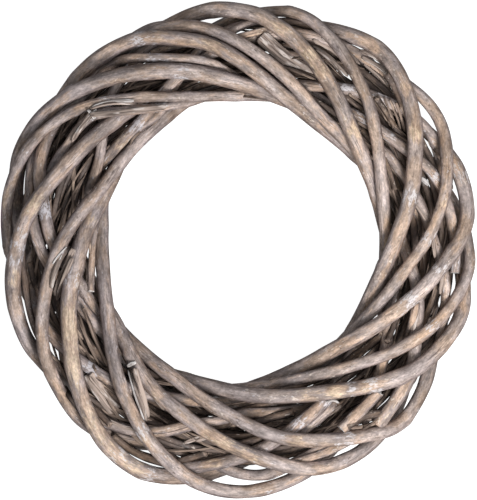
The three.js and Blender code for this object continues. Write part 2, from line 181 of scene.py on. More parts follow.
def packed_route(node):
    """The route of a rod as its solid shows it, always clockwise round the ring."""
    kind_name = kind_of(node)
    rings = rod_rings(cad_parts[node].data, ROD_KINDS[kind_name]["sides"])
    points = np.array([ring.mean(axis=0) for ring in rings])
    reach = [np.linalg.norm(ring - middle, axis=1).mean() for ring, middle in zip(rings, points)]
    radii = np.array(reach) / CORNER_REACH
    if not runs_clockwise(points):
        points, radii = points[::-1], radii[::-1]
    return make_route(kind_name, points, radii)


def bark_radius(route):
    """The radius of the rebuilt rod at every point of its route."""
    return route["radius"] * ROD_KINDS[route["kind"]]["share"]


# Camera, light and floor

# The camera stands over the middle of the photograph, which is to scale at this height of the wreath
CAMERA_HEIGHT = 9.0
SCALE_HEIGHT = 0.040
SENSOR = 36.0

# Each light's place, its width, its power in watts and its colour
LIGHTS = {
    "key": ((0.42, -0.64, 1.2), 0.4, 18.6, (1.0, 0.985, 0.97)),
    "fill": ((0.55, -0.25, 1.7), 1.0, 6, (0.97, 0.97, 1.0)),
}

# The light that comes from all round
STUDIO_COLOUR = (0.95, 0.97, 1.0, 1)
STUDIO_STRENGTH = 0.3

# The floor lights the wreath from below as this shade of grey does, and shows as pure white
FLOOR_SHADE = 0.35
FLOOR_SIZE = 8
FLOOR_BELOW = 0.2 * MM


def make_camera():
    data = bpy.data.cameras.new("camera")
    data.sensor_width = SENSOR
    data.lens = SENSOR * (CAMERA_HEIGHT - SCALE_HEIGHT) / (PHOTO_HEIGHT * PIXEL)
    camera = bpy.data.objects.new("camera", data)
    middle = photo_place(PHOTO_WIDTH / 2, PHOTO_HEIGHT / 2)
    camera.location = (middle[0], middle[1], CAMERA_HEIGHT)
    bpy.context.scene.collection.objects.link(camera)
    bpy.context.scene.camera = camera


def make_light(name, place, width, power, colour):
    data = bpy.data.lights.new(name, "AREA")
    data.shape = "DISK"
    data.size = width
    data.energy = power
    data.color = colour
    light = bpy.data.objects.new(name, data)
    light.location = place
    light.rotation_euler = (-Vector(place)).to_track_quat("-Z", "Y").to_euler()
    bpy.context.scene.collection.objects.link(light)


def make_studio():
    world = bpy.data.worlds.new("studio")
    world.use_nodes = True
    back = world.node_tree.nodes["Background"]
    back.inputs["Color"].default_value = STUDIO_COLOUR
    back.inputs["Strength"].default_value = STUDIO_STRENGTH
    bpy.context.scene.world = world


def make_floor():
    bpy.ops.mesh.primitive_plane_add(size=FLOOR_SIZE, location=(0, 0, -FLOOR_BELOW))
    floor = bpy.context.object
    floor.name = "floor"
    material = bpy.data.materials.new("pale_floor")
    material.use_nodes = True
    tree = material.node_tree
    shader = tree.nodes["Principled BSDF"]
    shader.inputs["Base Color"].default_value = (FLOOR_SHADE, FLOOR_SHADE, FLOOR_SHADE, 1)
    shader.inputs["Roughness"].default_value = 0.9
    shader.inputs["Specular IOR Level"].default_value = 0.1
    shader.inputs["Emission Color"].default_value = (1, 1, 1, 1)
    seen = tree.nodes.new("ShaderNodeLightPath")
    tree.links.new(seen.outputs["Is Camera Ray"], shader.inputs["Emission Strength"])
    floor.data.materials.append(material)


make_camera()
make_studio()
for light_name, light_values in LIGHTS.items():
    make_light(light_name, *light_values)
make_floor()
bpy.context.scene.view_settings.view_transform = "Standard"


# Shader helpers

VECTOR = "NodeSocketVector"
FLOAT = "NodeSocketFloat"
COLOUR = "NodeSocketColor"


def add(tree, kind, links=None, **settings):
    """A shader node with its settings, and its inputs linked or filled in by name or number."""
    node = tree.nodes.new(kind)
    for name, value in settings.items():
        setattr(node, name, value)
    for key, value in (links or {}).items():
        socket = node.inputs[key]
        if isinstance(value, bpy.types.NodeSocket):
            tree.links.new(value, socket)
        else:
            socket.default_value = value
    return node


def maths(tree, operation, a, b=0.0):
    return add(tree, "ShaderNodeMath", {0: a, 1: b}, operation=operation).outputs[0]


def plus(tree, a, b):
    return maths(tree, "ADD", a, b)


def less(tree, a, b):
    return maths(tree, "SUBTRACT", a, b)


def times(tree, a, b):
    return maths(tree, "MULTIPLY", a, b)


def total(tree, start, *parts):
    """The start with every part added to it, each a value and its share."""
    for value, share in parts:
        start = plus(tree, start, times(tree, value, share))
    return start


def ramp(tree, value, low, high):
    """A mask that rises smoothly from 0 at low to 1 at high."""
    node = add(tree, "ShaderNodeMapRange", {"Value": value, "From Min": low, "From Max": high},
               interpolation_type="SMOOTHSTEP")
    return node.outputs["Result"]


def blend(tree, factor, a, b, mode="MIX"):
    """Colour a turned into colour b by the factor. A mix node's colour sockets go by their numbers."""
    mixed = add(tree, "ShaderNodeMix", {0: factor, 6: a, 7: b}, data_type="RGBA", blend_type=mode)
    return mixed.outputs[2]


def shade(tree, body, mask, dark, pale):
    """Multiply a colour by a grey between dark and pale, as the mask says."""
    greys = blend(tree, mask, (dark, dark, dark, 1), (pale, pale, pale, 1))
    return blend(tree, 1.0, body, greys, "MULTIPLY")


def noise(tree, place, stretch, scale, detail, roughness):
    """Noise on a rod's straightened place. The smaller the stretch, the longer it is drawn out."""
    drawn = add(tree, "ShaderNodeVectorMath", {0: place, 1: stretch}, operation="MULTIPLY").outputs[0]
    made = add(tree, "ShaderNodeTexNoise",
               {"Vector": drawn, "Scale": scale, "Detail": detail, "Roughness": roughness})
    return made.outputs["Fac"]


def make_group(name, inputs, outputs):
    """A node group, with its inputs to take from and its outputs to link to."""
    tree = bpy.data.node_groups.new(name, "ShaderNodeTree")
    for label, kind, value in inputs:
        socket = tree.interface.new_socket(label, in_out="INPUT", socket_type=kind)
        if value is not None:
            socket.default_value = value
    for label, kind in outputs:
        tree.interface.new_socket(label, in_out="OUTPUT", socket_type=kind)
    entry = tree.nodes.new("NodeGroupInput")
    end = tree.nodes.new("NodeGroupOutput")
    return tree, entry.outputs, end.inputs


# Willow bark

# The noises in bark: their stretch across, up and along the rod, their scale, detail and roughness
BARK_NOISES = {
    "tone": ((0.6, 0.6, 0.5), 42, 1.0, 0.5),
    "hue": ((1, 1, 0.4), 110, 3.0, 0.6),
    "gap": ((1, 1, 0.3), 120, 1.0, 0.5),
    "patch": ((1, 1, 0.3), 130, 3.0, 0.6),
    "cloud": ((1, 1, 0.45), 170, 3.0, 0.55),
    "mottle": ((1, 1, 0.4), 330, 4.0, 0.6),
    "line": ((1, 1, 0.04), 520, 1.0, 0.5),
    "smear": ((1, 1, 0.3), 520, 3.0, 0.65),
    "streak": ((1, 1, 0.07), 620, 2.0, 0.55),
    "grain": ((1, 1, 0.5), 700, 1.0, 0.5),
    "fine": ((1, 1, 0.5), 1100, 3.0, 0.6),
}

# Tints that the bark is multiplied by, in its cool and warm clouds, and as painted shade, darker and
# greyer, on the side of the wreath where the light falls off
COOL_TINT = (0.86, 0.9, 0.98, 1)
WARM_TINT = (1.0, 0.87, 0.7, 1)
FALLOFF_SHADE_TINT = (0.81, 0.825, 0.86, 1)

SPECK_COLOUR = (0.09, 0.066, 0.054, 1)
CRACK_COLOUR = (0.07, 0.05, 0.042, 1)
FLECK_COLOUR = (0.82, 0.72, 0.62, 1)
# Painted shade where rods touch, on bark and on bare wood
BARK_CONTACT_SHADE = (0.04, 0.026, 0.02, 1)
FIBRE_CONTACT_SHADE = (0.035, 0.027, 0.024, 1)


def bark_body(tree, given, noises):
    """Greyish flanks in painted shade and a paler crest in painted light, in light, dark, cool and warm
    clouds. Also the crest's mask.
    """
    # Painted light and shade: the bark runs from the darker flank colour to the paler crest colour as its
    # skin turns to face up
    lift = times(tree, less(tree, noises["mottle"], 0.5), 0.9)
    crest = ramp(tree, plus(tree, given["Crest"], lift), 0.2, 1.0)
    body = blend(tree, crest, given["Shaded flank"], given["Lit crest colour"])
    body = shade(tree, body, ramp(tree, noises["tone"], 0.32, 0.62), 0.74, 1.1)
    body = shade(tree, body, ramp(tree, noises["cloud"], 0.3, 0.7), 0.76, 1.14)
    cool = times(tree, ramp(tree, noises["hue"], 0.5, 0.62), 0.65)
    body = blend(tree, cool, body, COOL_TINT, "MULTIPLY")
    warm = less(tree, 1.0, ramp(tree, noises["hue"], 0.38, 0.5))
    body = blend(tree, times(tree, warm, 0.6), body, WARM_TINT, "MULTIPLY")
    return body, crest


def bark_wear(tree, given, noises, body, crest):
    """Patches rubbed down to tan, and to cream where a rod is rubbed most. Also the tan's mask."""
    want = total(tree, noises["patch"], (given["Rub"], 0.22), (given["Tan share"], 0.2),
                 (less(tree, crest, 1.0), 0.3))
    tan = ramp(tree, want, 0.52, 0.68)
    body = blend(tree, times(tree, tan, 0.6), body, given["Tan"])
    worn = total(tree, noises["smear"], (given["Rub"], 0.2))
    cream = times(tree, ramp(tree, worn, 0.62, 0.76), crest)
    cream = times(tree, cream, ramp(tree, given["Rub"], 0.05, 0.6))
    return blend(tree, times(tree, cream, 0.8), body, given["Cream"]), tan


def bark_grain(tree, noises, body):
    """Mottling, streaks and fine grain all over."""
    body = shade(tree, body, ramp(tree, noises["mottle"], 0.34, 0.64), 0.72, 1.1)
    body = shade(tree, body, ramp(tree, noises["streak"], 0.34, 0.66), 0.83, 1.07)
    return shade(tree, body, ramp(tree, noises["fine"], 0.36, 0.64), 0.8, 1.12)


def bark_flaws(tree, noises, body):
    """Dark specks and cracks, and pale flecks. Also the masks of the specks and of the cracks."""
    speck = times(tree, ramp(tree, noises["grain"], 0.66, 0.74), ramp(tree, noises["gap"], 0.42, 0.6))
    body = blend(tree, times(tree, speck, 0.6), body, SPECK_COLOUR)
    crack = maths(tree, "ABSOLUTE", less(tree, noises["line"], 0.5))
    crack = less(tree, 1.0, ramp(tree, crack, 0.004, 0.026))
    crack = times(tree, crack, ramp(tree, noises["cloud"], 0.46, 0.6))
    body = blend(tree, times(tree, crack, 0.6), body, CRACK_COLOUR)
    fleck = less(tree, 1.0, ramp(tree, noises["grain"], 0.27, 0.34))
    fleck = times(tree, fleck, ramp(tree, noises["gap"], 0.46, 0.6))
    return blend(tree, times(tree, fleck, 0.6), body, FLECK_COLOUR), speck, crack


def bark_wash(tree, given, noises, body):
    """Smears of white, more of them near other rods, on knots and at marked spots. Also their mask."""
    wish = total(tree, noises["smear"], (given["Near"], 0.07), (given["Knot"], 0.06),
                 (given["Wash"], 0.2), (given["Wash share"], 0.1))
    wash = times(tree, ramp(tree, wish, 0.66, 0.74), ramp(tree, noises["fine"], 0.36, 0.54))
    return blend(tree, times(tree, wash, 0.75), body, given["Wash colour"]), wash


def bark_painted_shade(tree, given, body):
    """Painted shade: darker undersides, a darker and greyer side of the wreath where the light falls off,
    and darker bark where rods touch.
    """
    # Painted shade on the undersides and lower flanks
    body = shade(tree, body, ramp(tree, given["Crest"], -0.3, 0.4), 0.88, 1.0)
    # Painted shade of the light's falloff across the wreath: darker and greyer on one side, a touch lighter
    # on the other
    body = shade(tree, body, given["Falloff shade"], 1.02, 1.0)
    body = blend(tree, given["Falloff shade"], body, FALLOFF_SHADE_TINT, "MULTIPLY")
    # Painted shade where rods touch
    contact_shade = times(tree, ramp(tree, given["Near"], 0.55, 1.0), 0.6)
    return blend(tree, contact_shade, body, BARK_CONTACT_SHADE)


def bark_group():
    """Weathered willow bark with painted light and shade, made up layer on layer, with its roughness and
    its relief.
    """
    tree, given, out = make_group(
        "willow_bark",
        [("Place", VECTOR, None), ("Shaded flank", COLOUR, None), ("Lit crest colour", COLOUR, None),
         ("Tan", COLOUR, None), ("Cream", COLOUR, None), ("Wash colour", COLOUR, None),
         ("Crest", FLOAT, 0.0), ("Rub", FLOAT, 0.0), ("Wash", FLOAT, 0.0), ("Near", FLOAT, 0.0),
         ("Knot", FLOAT, 0.0), ("Falloff shade", FLOAT, 0.0), ("Tan share", FLOAT, 0.5), ("Wash share", FLOAT, 0.5)],
        [("Color", COLOUR), ("Roughness", FLOAT), ("Height", FLOAT)],
    )
    noises = {name: noise(tree, given["Place"], *values) for name, values in BARK_NOISES.items()}
    body, crest = bark_body(tree, given, noises)
    body, tan = bark_wear(tree, given, noises, body, crest)
    body = bark_grain(tree, noises, body)
    body, speck, crack = bark_flaws(tree, noises, body)
    body, wash = bark_wash(tree, given, noises, body)
    tree.links.new(bark_painted_shade(tree, given, body), out["Color"])

    rough = total(tree, 0.5, (noises["streak"], 0.24), (tan, -0.06))
    tree.links.new(rough, out["Roughness"])
    height = total(tree, 0.0, (noises["streak"], 0.5), (noises["mottle"], 0.35), (crack, -0.5),
                   (speck, -0.2), (wash, 0.12))
    tree.links.new(height, out["Height"])
    return tree


# Split, shredded and cut wood

def fibre_group():
    """Willow wood along its grain: pale fibres with dark gaps between them, bright fibres as a painted
    highlight where it faces up, painted shade on its flanks, and painted shade where it touches rods.
    """
    tree, given, out = make_group(
        "torn_fibres",
        [("Place", VECTOR, None), ("Dark", COLOUR, None), ("Pale", COLOUR, None), ("Bright", COLOUR, None),
         ("Crest", FLOAT, 0.0), ("Near", FLOAT, 0.0), ("Highlight share", FLOAT, 0.0)],
        [("Color", COLOUR), ("Roughness", FLOAT), ("Height", FLOAT)],
    )
    fibre = noise(tree, given["Place"], (1, 1, 0.05), 1000, 2.0, 0.6)
    broad = noise(tree, given["Place"], (1, 1, 0.1), 330, 2.0, 0.5)
    glint = noise(tree, given["Place"], (1, 1, 0.2), 520, 2.0, 0.5)
    body = blend(tree, ramp(tree, fibre, 0.3, 0.6), given["Dark"], given["Pale"])
    body = shade(tree, body, ramp(tree, broad, 0.32, 0.66), 0.6, 1.1)
    # Painted highlight: bright fibres only where the skin faces up
    lit = total(tree, glint, (given["Highlight share"], 0.25))
    lit = times(tree, ramp(tree, lit, 0.58, 0.72), ramp(tree, given["Crest"], 0.2, 0.8))
    body = blend(tree, times(tree, lit, 0.8), body, given["Bright"])
    # Painted shade on the flanks and undersides
    body = shade(tree, body, ramp(tree, given["Crest"], -0.1, 0.6), 0.5, 1.0)
    # Painted shade where the wood touches rods
    contact_shade = times(tree, ramp(tree, given["Near"], 0.5, 1.0), 0.6)
    tree.links.new(blend(tree, contact_shade, body, FIBRE_CONTACT_SHADE), out["Color"])
    tree.links.new(total(tree, 0.7, (fibre, 0.2)), out["Roughness"])
    tree.links.new(fibre, out["Height"])
    return tree


# Materials

# What the pieces' meshes say at every corner, beside its straightened place, for an effect that asks
MARKS = ("Crest", "Rub", "Wash", "Near", "Knot", "Falloff shade")

bark = bark_group()
fibres = fibre_group()

# The finishes: the effect, the depth of its relief, and its own values
FINISHES = {
    "outer_bark": (bark, 0.5 * MM, {
        "Shaded flank": (0.36, 0.275, 0.245, 1), "Lit crest colour": (0.605, 0.495, 0.44, 1),
        "Tan": (0.58, 0.39, 0.26, 1), "Cream": (0.8, 0.62, 0.44, 1),
        "Wash colour": (0.74, 0.71, 0.72, 1), "Tan share": 0.0, "Wash share": 0.3}),
    "binding_bark": (bark, 0.5 * MM, {
        "Shaded flank": (0.3, 0.23, 0.205, 1), "Lit crest colour": (0.57, 0.46, 0.405, 1),
        "Tan": (0.58, 0.39, 0.26, 1), "Cream": (0.78, 0.62, 0.45, 1),
        "Wash colour": (0.76, 0.73, 0.75, 1), "Tan share": 0.2, "Wash share": 0.45}),
    # The core's bark is painted much darker than the rest, as painted shade deep inside the wreath
    "core_bark": (bark, 0.6 * MM, {
        "Shaded flank": (0.045, 0.031, 0.025, 1), "Lit crest colour": (0.21, 0.155, 0.127, 1),
        "Tan": (0.27, 0.18, 0.12, 1), "Cream": (0.3, 0.22, 0.16, 1),
        "Wash colour": (0.22, 0.2, 0.19, 1), "Tan share": 0.0, "Wash share": 0.1}),
    "shredded_bark": (fibres, 0.5 * MM, {
        "Dark": (0.055, 0.038, 0.031, 1), "Pale": (0.34, 0.255, 0.205, 1),
        "Bright": (0.52, 0.4, 0.31, 1), "Highlight share": 0.1}),
    "torn_wood": (fibres, 0.6 * MM, {
        "Dark": (0.14, 0.105, 0.09, 1), "Pale": (0.48, 0.385, 0.33, 1),
        "Bright": (0.66, 0.59, 0.55, 1), "Highlight share": 0.2}),
    "cut_wood": (fibres, 0.3 * MM, {
        "Dark": (0.3, 0.26, 0.24, 1), "Pale": (0.55, 0.51, 0.49, 1),
        "Bright": (0.78, 0.75, 0.74, 1), "Highlight share": 0.6}),
}


def mark_node(tree, name):
    return add(tree, "ShaderNodeAttribute", attribute_name=name, attribute_type="GEOMETRY")


def make_finish(name, group, relief, values):
    """A material whose colour, roughness and bump come from a group, with its own values."""
    material = bpy.data.materials.new(name)
    material.use_nodes = True
    tree = material.node_tree
    shader = tree.nodes["Principled BSDF"]
    effect = tree.nodes.new("ShaderNodeGroup")
    effect.node_tree = group
    tree.links.new(mark_node(tree, "straight").outputs["Vector"], effect.inputs["Place"])
    for label in MARKS:
        if label in effect.inputs:
            tree.links.new(mark_node(tree, label.lower()).outputs["Fac"], effect.inputs[label])
    for label, value in values.items():
        effect.inputs[label].default_value = value
    tree.links.new(effect.outputs["Color"], shader.inputs["Base Color"])
    tree.links.new(effect.outputs["Roughness"], shader.inputs["Roughness"])
    bump = add(tree, "ShaderNodeBump",
               {"Height": effect.outputs["Height"], "Strength": 0.7, "Distance": relief})
    tree.links.new(bump.outputs["Normal"], shader.inputs["Normal"])
    shader.inputs["Specular IOR Level"].default_value = 0.3
    return material


finishes = {name: make_finish(name, *finish) for name, finish in FINISHES.items()}


# Marks that stand at known places of the photograph

# Where the bark is rubbed tan and cream: pixels across and down, how strongly, and how far along in mm
WEAR = (
    (155, 36, 0.8, 7), (210, 48, 0.7, 9), (123, 140, 0.9, 8), (33, 203, 0.8, 8), (13, 203, 0.7, 7),
    (20, 280, 0.8, 8), (67, 317, 1.0, 12), (97, 220, 0.7, 7), (282, 24, 0.7, 7), (316, 52, 1.0, 7),
    (326, 68, 0.8, 6), (350, 128, 1.0, 8), (412, 132, 0.8, 6), (406, 92, 0.6, 6), (381, 249, 0.8, 7),
    (365, 284, 0.7, 8), (331, 322, 0.8, 9), (308, 388, 0.9, 8), (335, 390, 1.3, 6), (369, 382, 0.8, 7),
    (223, 444, 0.9, 12), (296, 436, 0.8, 7), (212, 463, 0.7, 8), (69, 323, 1.0, 14), (77, 369, 1.0, 14),
    (92, 427, 1.0, 16), (114, 452, 1.0, 12), (135, 469, 1.0, 10), (142, 435, 0.8, 7), (215, 431, 0.8, 8),
    (150, 396, 0.7, 6), (258, 40, 0.7, 9), (180, 440, 0.6, 7), (250, 455, 0.7, 9), (445, 205, 0.7, 7),
)

# Where it is smeared white
WASH = (
    (138, 42, 1.0, 5), (148, 43, 0.8, 4), (153, 58, 1.0, 5), (186, 64, 0.8, 6), (108, 105, 0.8, 5),
    (164, 104, 1.0, 5), (141, 131, 1.0, 6), (347, 88, 1.0, 5), (378, 94, 0.9, 6), (364, 121, 0.9, 5),
    (389, 134, 0.8, 5), (397, 154, 0.8, 6), (434, 180, 1.0, 5), (459, 176, 0.9, 5), (333, 402, 1.2, 5),
    (376, 393, 1.2, 4), (351, 380, 1.0, 3), (303, 428, 0.9, 5), (349, 430, 0.9, 5), (87, 373, 1.4, 4),
    (150, 428, 1.0, 5), (154, 472, 0.9, 5), (124, 450, 1.0, 5), (151, 460, 0.9, 4), (42, 210, 1.4, 5),
    (79, 282, 0.8, 5), (21, 232, 0.8, 4), (22, 248, 0.9, 4), (22, 264, 0.9, 4), (425, 180, 1.2, 4),
    (417, 200, 0.9, 5), (432, 238, 0.9, 5), (441, 270, 0.8, 5), (415, 306, 1.2, 5), (457, 262, 0.8, 5),
    (437, 332, 0.9, 5), (184, 443, 1.0, 4),
)

# A rod is the one seen at a spot if its middle is no further off than its radius and this much
SPOT_REACH = 1.0 * MM

# A rod's skin falls away to its sides by about this share of the distance
SIDE_FALL = 0.5


def seen_rod(place, routes):
    """The number of the rod that lies on top at a place in plan, and the point of its route there."""
    highest = -np.inf
    seen = None
    for number, route in enumerate(routes):
        off = np.linalg.norm(route["points"][:, :2] - place, axis=1)
        able = off < route["radius"] + SPOT_REACH
        tops = np.where(able, route["points"][:, 2] - SIDE_FALL * off, -np.inf)
        point = int(tops.argmax())
        if tops[point] > highest:
            highest = tops[point]
            seen = (number, point)
    return seen


def placed_marks(spots, routes):
    """For every rod, how strongly the spots mark each point of its route."""
    marks = [np.zeros(len(route["points"])) for route in routes]
    for across, down, strength, reach in spots:
        seen = seen_rod(photo_place(across, down), routes)
        if seen is None:
            continue
        number, point = seen
        along = routes[number]["along"]
        glow = strength * np.exp(-((along - along[point]) / (reach * MM))**2)
        marks[number] = np.maximum(marks[number], glow)
    return marks


# Rods

def wander(rng, along, reach):
    """A smooth random value along a rod, between -1 and 1, that changes over the reach."""
    values = rng.uniform(-1, 1, int(along[-1] / reach) + 4)
    where = along / reach + rng.uniform(0, 1)
    step = where.astype(int)
    part = where - step
    part = part * part * (3 - 2 * part)
    return values[step] * (1 - part) + values[step + 1] * part


def across_route(points):
    """At each point of a route: its direction, and two directions across it that never twist."""
    ahead = unit(np.gradient(points, axis=0))
    side = unit(np.cross(ahead[0], UP))
    sides = []
    for direction in ahead:
        side = unit(side - direction * side.dot(direction))
        sides.append(side)
    sides = np.array(sides)
    return ahead, sides, np.cross(sides, ahead)


def turn_between(angles, turn):
    """The signed angle from a turn to each of the angles."""
    return (angles - turn + math.pi) % (2 * math.pi) - math.pi


# A rod's swellings: how much they change its radius, as a share of it, and how long they are
SWELLINGS = ((0.035, 24 * MM), (0.02, 9 * MM))

# Its ridges: how many go round it, and how high they are as a share of its radius. They wander round it
# by so many radians, over the first length, and rise and sink over the second
RIDGES = ((2, 0.05), (3, 0.034), (5, 0.02), (8, 0.014))
RIDGE_SWING = 2.2
RIDGE_SWING_LENGTH = 45 * MM
RIDGE_RISE_LENGTH = 30 * MM

# Bud scars stand about this far apart, each turned round the rod by about so many radians from the last
KNOT_SPACING = 42 * MM
KNOT_TURN = 2.4

# A bud scar's height, its length along the rod and its width round it, between two sizes, the depth of
# its pit as a share of its height, and how far the rod swells out where it sits
KNOT_HEIGHT = (0.25 * MM, 0.75 * MM)
KNOT_LENGTH = (1.8 * MM, 3.6 * MM)
KNOT_WIDTH = (1.4 * MM, 2.4 * MM)
PIT_DEPTH = 0.8
KNOT_SWELL = 0.25 * MM

# Every rod is rubbed up to this much here and there, in places of this length
STRAY_RUB = 0.35
STRAY_RUB_LENGTH = 30 * MM

# The bark is painted greyest and darkest on this side of the wreath, as painted shade where the light falls
# off
FALLOFF_SHADE_BEARING = math.radians(185)

# How near a corner is to the next rod: 1 where they touch, 0 past this gap
NEAR_GAP = 3.0 * MM

# An end is cut off this steeply, over so many rings
CUT_SLANT = 0.45
CUT_RINGS = 3

# Every rod's straightened place starts this much further on than the last one's, so that no two match
ROD_SHIFT = 1.7

# The random draws of a rod start from this and its number
ROD_SEED = 100


def rod_relief(rng, along, angles, radius):
    """How far a rod's skin stands out of its even round at every corner."""
    swelling = sum(share * wander(rng, along, length) for share, length in SWELLINGS)
    relief = np.repeat((radius * swelling)[:, None], len(angles), axis=1)
    for waves, share in RIDGES:
        swing = RIDGE_SWING * wander(rng, along, RIDGE_SWING_LENGTH) + rng.uniform(0, 2 * math.pi)
        strength = radius * share * (0.6 + 0.4 * wander(rng, along, RIDGE_RISE_LENGTH))
        relief += strength[:, None] * np.cos(waves * angles[None, :] + swing[:, None])
    return relief


def add_knots(rng, relief, along, angles, radius):
    """Raise bud scars on the relief, with a small pit in each. Returns how much a corner is on one."""
    knot = np.zeros_like(relief)
    place = rng.uniform(0.2, 1) * KNOT_SPACING
    turn = rng.uniform(0, 2 * math.pi)
    while place < along[-1]:
        height = rng.uniform(*KNOT_HEIGHT)
        length = rng.uniform(*KNOT_LENGTH)
        width = rng.uniform(*KNOT_WIDTH)
        from_place = (along - place)[:, None]
        from_turn = turn_between(angles, turn)[None, :] * radius[:, None]
        bump = np.exp(-(from_place / length)**2 - (from_turn / width)**2)
        pit = np.exp(-(from_place / (0.4 * length))**2 - (from_turn / (0.5 * width))**2)
        swell = KNOT_SWELL * np.exp(-(from_place / (2 * length))**2)
        relief += height * (bump - PIT_DEPTH * pit) + swell
        knot = np.maximum(knot, bump)
        place += KNOT_SPACING * rng.uniform(0.6, 1.5)
        turn += KNOT_TURN + rng.uniform(-0.3, 0.3)
    return knot


def slant_ends(skin, points, ahead, tops):
    """Cut both ends off at a slant that shows from above: the last rings lean more and more."""
    for end, inward in ((0, 1), (len(points) - 1, -1)):
        for k in range(CUT_RINGS):
            i = end + k * inward
            lean = (skin[i] - points[i]) @ tops[end]
            steep = inward * CUT_SLANT * (1 - k / CUT_RINGS)
            skin[i] += steep * np.maximum(lean, 0)[:, None] * ahead[end]


def straightened(across, up, along, shift):
    """Where every corner of a rod or strip lies once it is laid out straight, and its end middles."""
    flat = np.stack([across, up, np.repeat(along[:, None], across.shape[1], axis=1)], axis=-1)
    places = np.vstack([flat.reshape(-1, 3), (0, 0, along[0]), (0, 0, along[-1])])
    places[:, 2] += shift
    return places


def rod_tree(routes):
    """A search tree of the middles of some rods, with their radii."""
    points = np.vstack([route["points"][::2] for route in routes])
    radii = np.concatenate([bark_radius(route)[::2] for route in routes])
    tree = KDTree(len(points))
    for i, point in enumerate(points):
        tree.insert(point, i)
    tree.balance()
    return tree, radii


def nearness(corners, neighbours):
    """How near every corner is to the nearest of some rods: 1 where they touch."""
    tree, radii = neighbours
    near = np.zeros(len(corners))
    for i, corner in enumerate(corners):
        _, j, distance = tree.find(corner)
        near[i] = 1 - (distance - radii[j]) / NEAR_GAP
    return np.clip(near, 0, 1)


def falloff_shade(corners):
    """How much painted shade, darker and greyer, the bark takes at every corner, by its bearing on the
    ring: 0 to 1.
    """
    east, north = (corners[:, :2] - RING_AXIS).T
    return 0.5 + 0.5 * np.cos(np.arctan2(north, east) - FALLOFF_SHADE_BEARING)


def tube_faces(rings, around):
    """Faces of a tube of rings, with a fan at each end round a middle corner of its own."""
    faces = []
    for i in range(rings - 1):
        row = i * around
        for j in range(around):
            k = (j + 1) % around
            faces.append((row + j, row + k, row + around + k, row + around + j))
    first = rings * around
    last = first + 1
    base = (rings - 1) * around
    for j in range(around):
        k = (j + 1) % around
        faces.append((first, k, j))
        faces.append((last, base + j, base + k))
    return faces


def make_piece(name, corners, faces, marks, materials, face_materials=None):
    """A smooth mesh that carries its marks at every corner."""
    mesh = bpy.data.meshes.new(name)
    mesh.from_pydata(corners.tolist(), [], faces)
    mesh.polygons.foreach_set("use_smooth", [True] * len(mesh.polygons))
    for material in materials:
        mesh.materials.append(material)
    if face_materials is not None:
        mesh.polygons.foreach_set("material_index", face_materials)
    for mark, values in marks.items():
        if values.ndim == 2:
            layer = mesh.attributes.new(mark, "FLOAT_VECTOR", "POINT")
            layer.data.foreach_set("vector", values.astype(np.float32).ravel())
        else:
            layer = mesh.attributes.new(mark, "FLOAT", "POINT")
            layer.data.foreach_set("value", values.astype(np.float32))
    piece = bpy.data.objects.new(name, mesh)
    bpy.context.scene.collection.objects.link(piece)
    return piece


def make_rod(name, number, route, neighbours, rub, wash):
    """The piece of one rod on its route, in the bark of its kind. Its end fans have their own finish."""
    kind = ROD_KINDS[route["kind"]]
    around = kind["around"]
    rng = np.random.default_rng(ROD_SEED + number)
    points, along = route["points"], route["along"]
    radius = bark_radius(route)
    angles = np.arange(around) * 2 * math.pi / around
    relief = rod_relief(rng, along, angles, radius)
    knot = add_knots(rng, relief, along, angles, radius)
    rub = rub + STRAY_RUB * np.maximum(wander(rng, along, STRAY_RUB_LENGTH), 0)

    ahead, sides, tops = across_route(points)
    cosine, sine = np.cos(angles), np.sin(angles)
    outward = cosine[None, :, None] * sides[:, None, :] + sine[None, :, None] * tops[:, None, :]
    reach = radius[:, None] + relief
    skin = points[:, None, :] + reach[..., None] * outward
    slant_ends(skin, points, ahead, tops)
    corners = np.vstack([skin.reshape(-1, 3), points[0], points[-1]])
    corners[:, 2] = np.maximum(corners[:, 2], 0.0)
    # How far the skin faces up, which sets the painted light and shade. The end rings and end middles count
    # as facing straight up
    crest = outward[..., 2].copy()
    crest[[0, -1]] = 1
    marks = {
        "straight": straightened(reach * cosine, reach * sine, along, ROD_SHIFT * number),
        "crest": np.append(crest, (1, 1)),
        "near": nearness(corners, neighbours),
        "knot": np.append(knot, (0, 0)),
        "rub": np.append(np.repeat(rub, around), (0, 0)),
        "wash": np.append(np.repeat(wash, around), (0, 0)),
        "falloff shade": falloff_shade(corners),
    }
    faces = tube_faces(len(points), around)
    face_materials = [0] * (len(faces) - 2 * around) + [1] * (2 * around)
    materials = [finishes[kind["slot"]], finishes[kind["ends"]]]
    piece = make_piece(name, corners, faces, marks, materials, face_materials)
    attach(piece, "root")
    return piece


def cover_rods(nodes, routes):
    """Rebuild every packed rod in its bark."""
    rubs = placed_marks(WEAR, routes)
    washes = placed_marks(WASH, routes)
    for number, node in enumerate(nodes):
        others = rod_tree(routes[:number] + routes[number + 1:])
        rod = make_rod(node + "_bark", number, routes[number], others, rubs[number], washes[number])
        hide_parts(node)


# Beds and strips

# What carries a strip or short rod, what lies over it, and how high the middle of a rod over it is
BEDS = {
    "top": (("outer", "binding", "core"), (), 0.0),
    "under": (("binding", "core"), ("outer",), 33 * MM),
    "core": (("core",), ("outer", "binding"), 27 * MM),
}

# How finely a strip is built, and how many corners go round it
STRIP_STEP = 1.0 * MM
STRIP_AROUND = 8

# A strip narrows and thins within this length of its tips, down to this share of its thickness
TIP_LENGTH = 5 * MM
TIP_THICK = 0.4

# A strip leans by up to so many radians, over this length, and less so where it is wider than this
STRIP_LEAN = 0.25
LEAN_LENGTH = 15 * MM
LEAN_WIDTH = 3 * MM

# Its edges waver by this share of its width, over this length
EDGE_WAVER = 0.16
EDGE_LENGTH = 7 * MM

